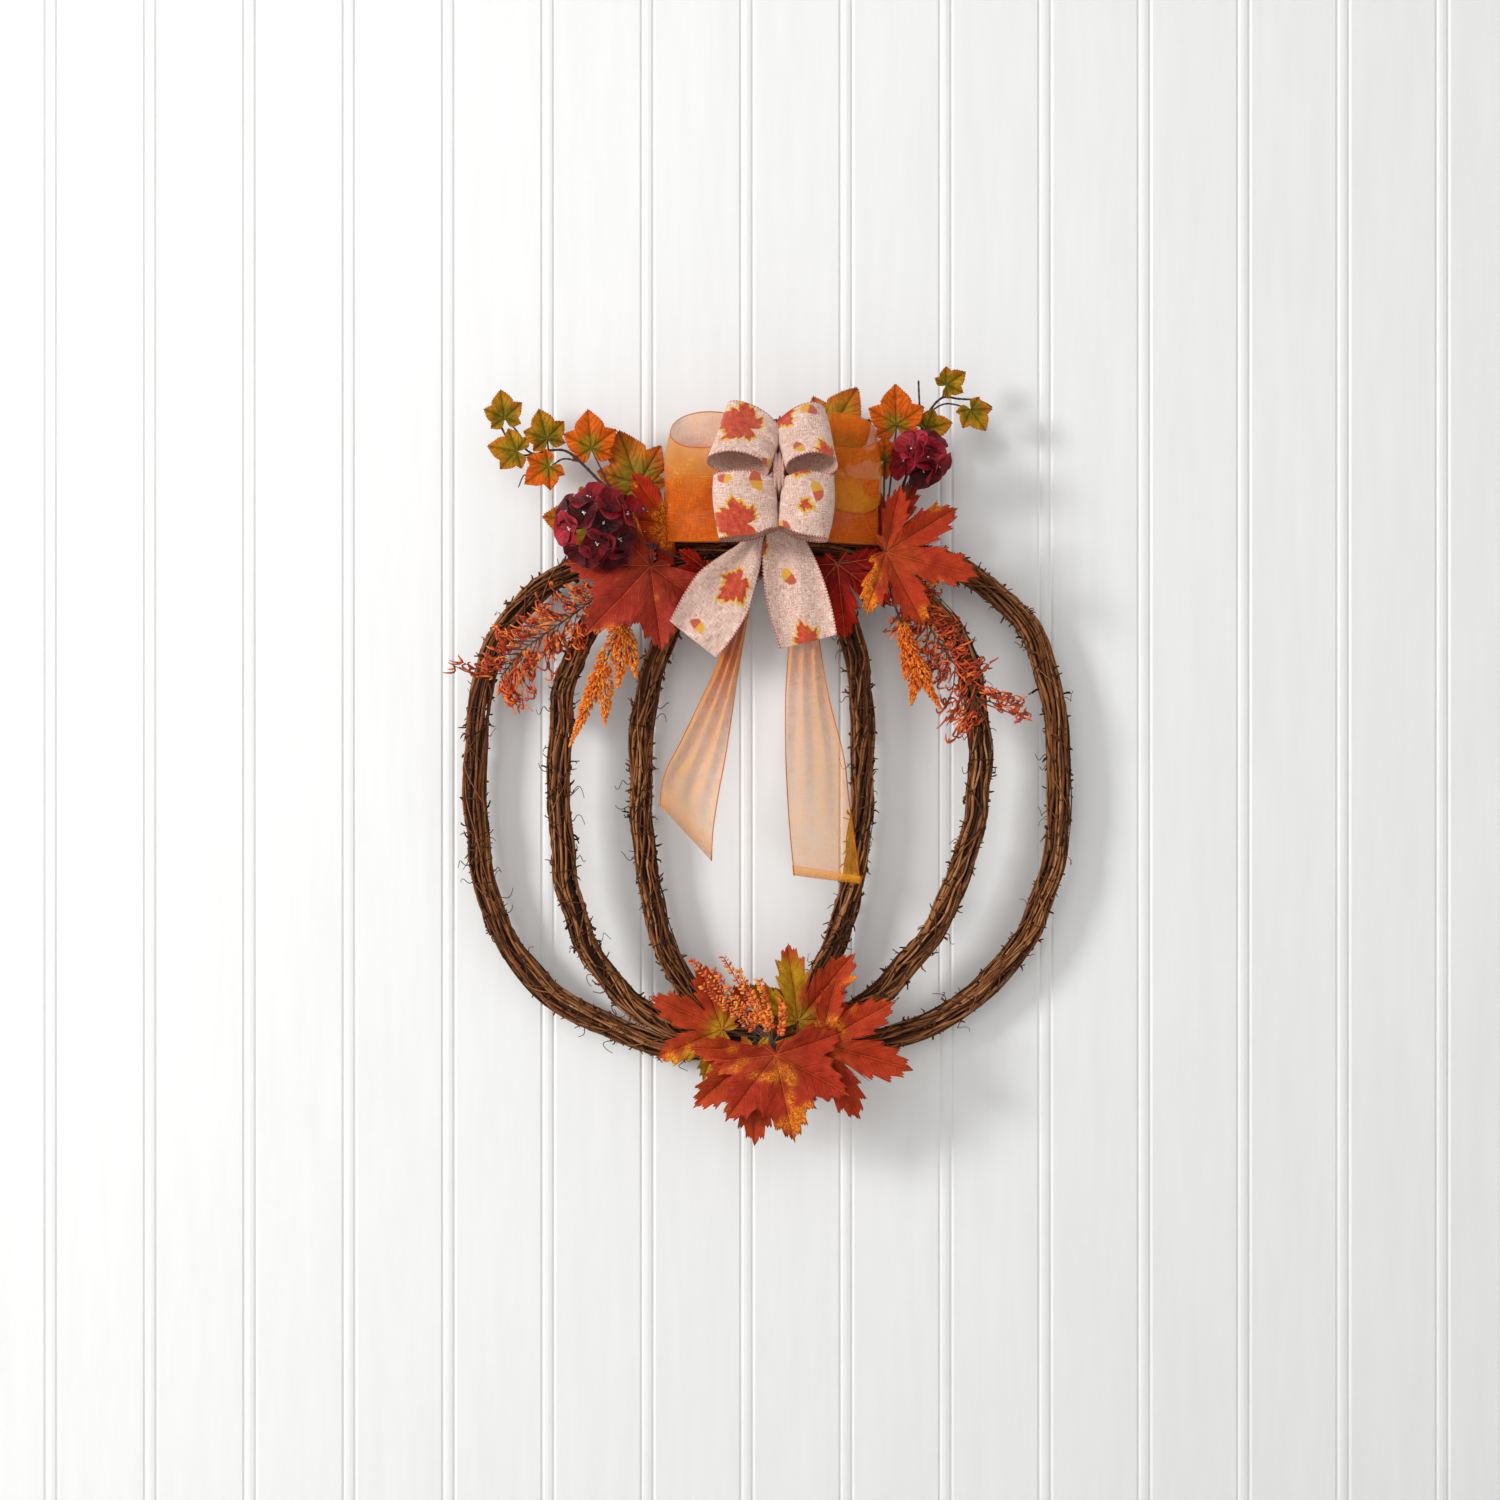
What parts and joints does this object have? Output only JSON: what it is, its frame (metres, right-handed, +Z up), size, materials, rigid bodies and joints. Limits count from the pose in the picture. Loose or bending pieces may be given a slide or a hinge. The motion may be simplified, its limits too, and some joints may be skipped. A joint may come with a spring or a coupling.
{
  "type": "door wreath",
  "caption": "Pumpkin-shaped grapevine door wreath of nested hoops, with a ribbon bow, trailing streamers and picks of autumn leaves, flowers and sprays.",
  "frame": {"origin": "where a nail bears inside the hanging loop at the top of the frame, behind the bow", "axes": "+Z up, along the wreath's height; -Y towards the viewer, so +Y points into the door; +X to the viewer's right"},
  "size_m": [0.5946, 0.1228, 0.7507],
  "materials": {
    "grapevine": "rough bark, bundled twigs",
    "florist_wire": "dull annealed wire",
    "sheer_ribbon": "sheer wired organza",
    "printed_ribbon": "coarse linen weave with a printed pattern of leaves and acorns",
    "wrapped_stem": "paper-wrapped wire",
    "maple_leaf": "printed polyester with moulded veins",
    "gold_leaf": "printed polyester with moulded veins",
    "ivy_leaf": "printed polyester with moulded veins",
    "flower_petal": "printed polyester petals",
    "heather": "moulded sprigs",
    "plume": "moulded feathery plumes",
    "berry_spray": "moulded seeds on wire"
  },
  "bodies": {
    "frame": {"outer_hoop": "grapevine", "middle_hoop": "grapevine", "inner_hoop": "grapevine", "pumpkin_stem": "grapevine", "top_tie_wire": "florist_wire", "bottom_tie_wire": "florist_wire", "hanging_loop": "florist_wire", "bow_wire": "florist_wire", "sheer_loop_upper_left": "sheer_ribbon", "sheer_loop_upper_right": "sheer_ribbon", "sheer_loop_lower_left": "sheer_ribbon", "sheer_loop_lower_right": "sheer_ribbon", "printed_loop_upper_left": "printed_ribbon", "printed_loop_upper_right": "printed_ribbon", "printed_loop_lower_left": "printed_ribbon", "printed_loop_lower_right": "printed_ribbon", "bow_centre_tie": "printed_ribbon", "left_pick_stem": "wrapped_stem", "right_pick_stem": "wrapped_stem", "bottom_pick_stem": "wrapped_stem", "left_ivy_branch": "wrapped_stem", "right_ivy_branch": "wrapped_stem", "left_flower_head": "flower_petal", "right_flower_head": "flower_petal", "left_heather_spray": "heather", "right_heather_spray": "heather", "left_plume_spray": "plume", "right_plume_spray": "plume", "bottom_berry_spray": "berry_spray", "left_maple_leaf_lower": "maple_leaf", "left_maple_leaf_upper": "maple_leaf", "left_maple_leaf_inner": "maple_leaf", "right_maple_leaf_upper": "maple_leaf", "right_maple_leaf_outer": "maple_leaf", "right_maple_leaf_inner": "maple_leaf", "bottom_maple_leaf_left": "maple_leaf", "bottom_maple_leaf_upper": "maple_leaf", "bottom_maple_leaf_right": "maple_leaf", "bottom_maple_leaf_front": "maple_leaf", "bottom_maple_leaf_under": "maple_leaf", "left_gold_leaf_upper": "gold_leaf", "left_gold_leaf_lower": "gold_leaf", "right_gold_leaf_upper": "gold_leaf", "right_gold_leaf_lower": "gold_leaf", "bottom_gold_leaf": "gold_leaf", "left_ivy_leaf_top": "ivy_leaf", "left_ivy_leaf_tip": "ivy_leaf", "left_ivy_leaf_upper": "ivy_leaf", "left_ivy_leaf_lower": "ivy_leaf", "left_ivy_leaf_orange": "ivy_leaf", "right_orange_leaf_upper": "ivy_leaf", "right_orange_leaf_lower": "ivy_leaf", "right_ivy_leaf_top": "ivy_leaf", "right_ivy_leaf_tip": "ivy_leaf", "right_ivy_leaf_lower": "ivy_leaf"},
    "left_streamers": {"printed_streamer_left": "printed_ribbon", "sheer_streamer_left": "sheer_ribbon"},
    "right_streamers": {"printed_streamer_right": "printed_ribbon", "sheer_streamer_right": "sheer_ribbon"}
  },
  "joints": [
    {"name": "left_streamers_swing", "type": "hinge", "parent": "frame", "child": "left_streamers", "pos_m": [-0.015, -0.074, -0.034], "axis": [-1, 0, 0], "range_deg": [0, 40]},
    {"name": "right_streamers_swing", "type": "hinge", "parent": "frame", "child": "right_streamers", "pos_m": [0.02, -0.074, -0.034], "axis": [-1, 0, 0], "range_deg": [0, 40]}
  ]
}
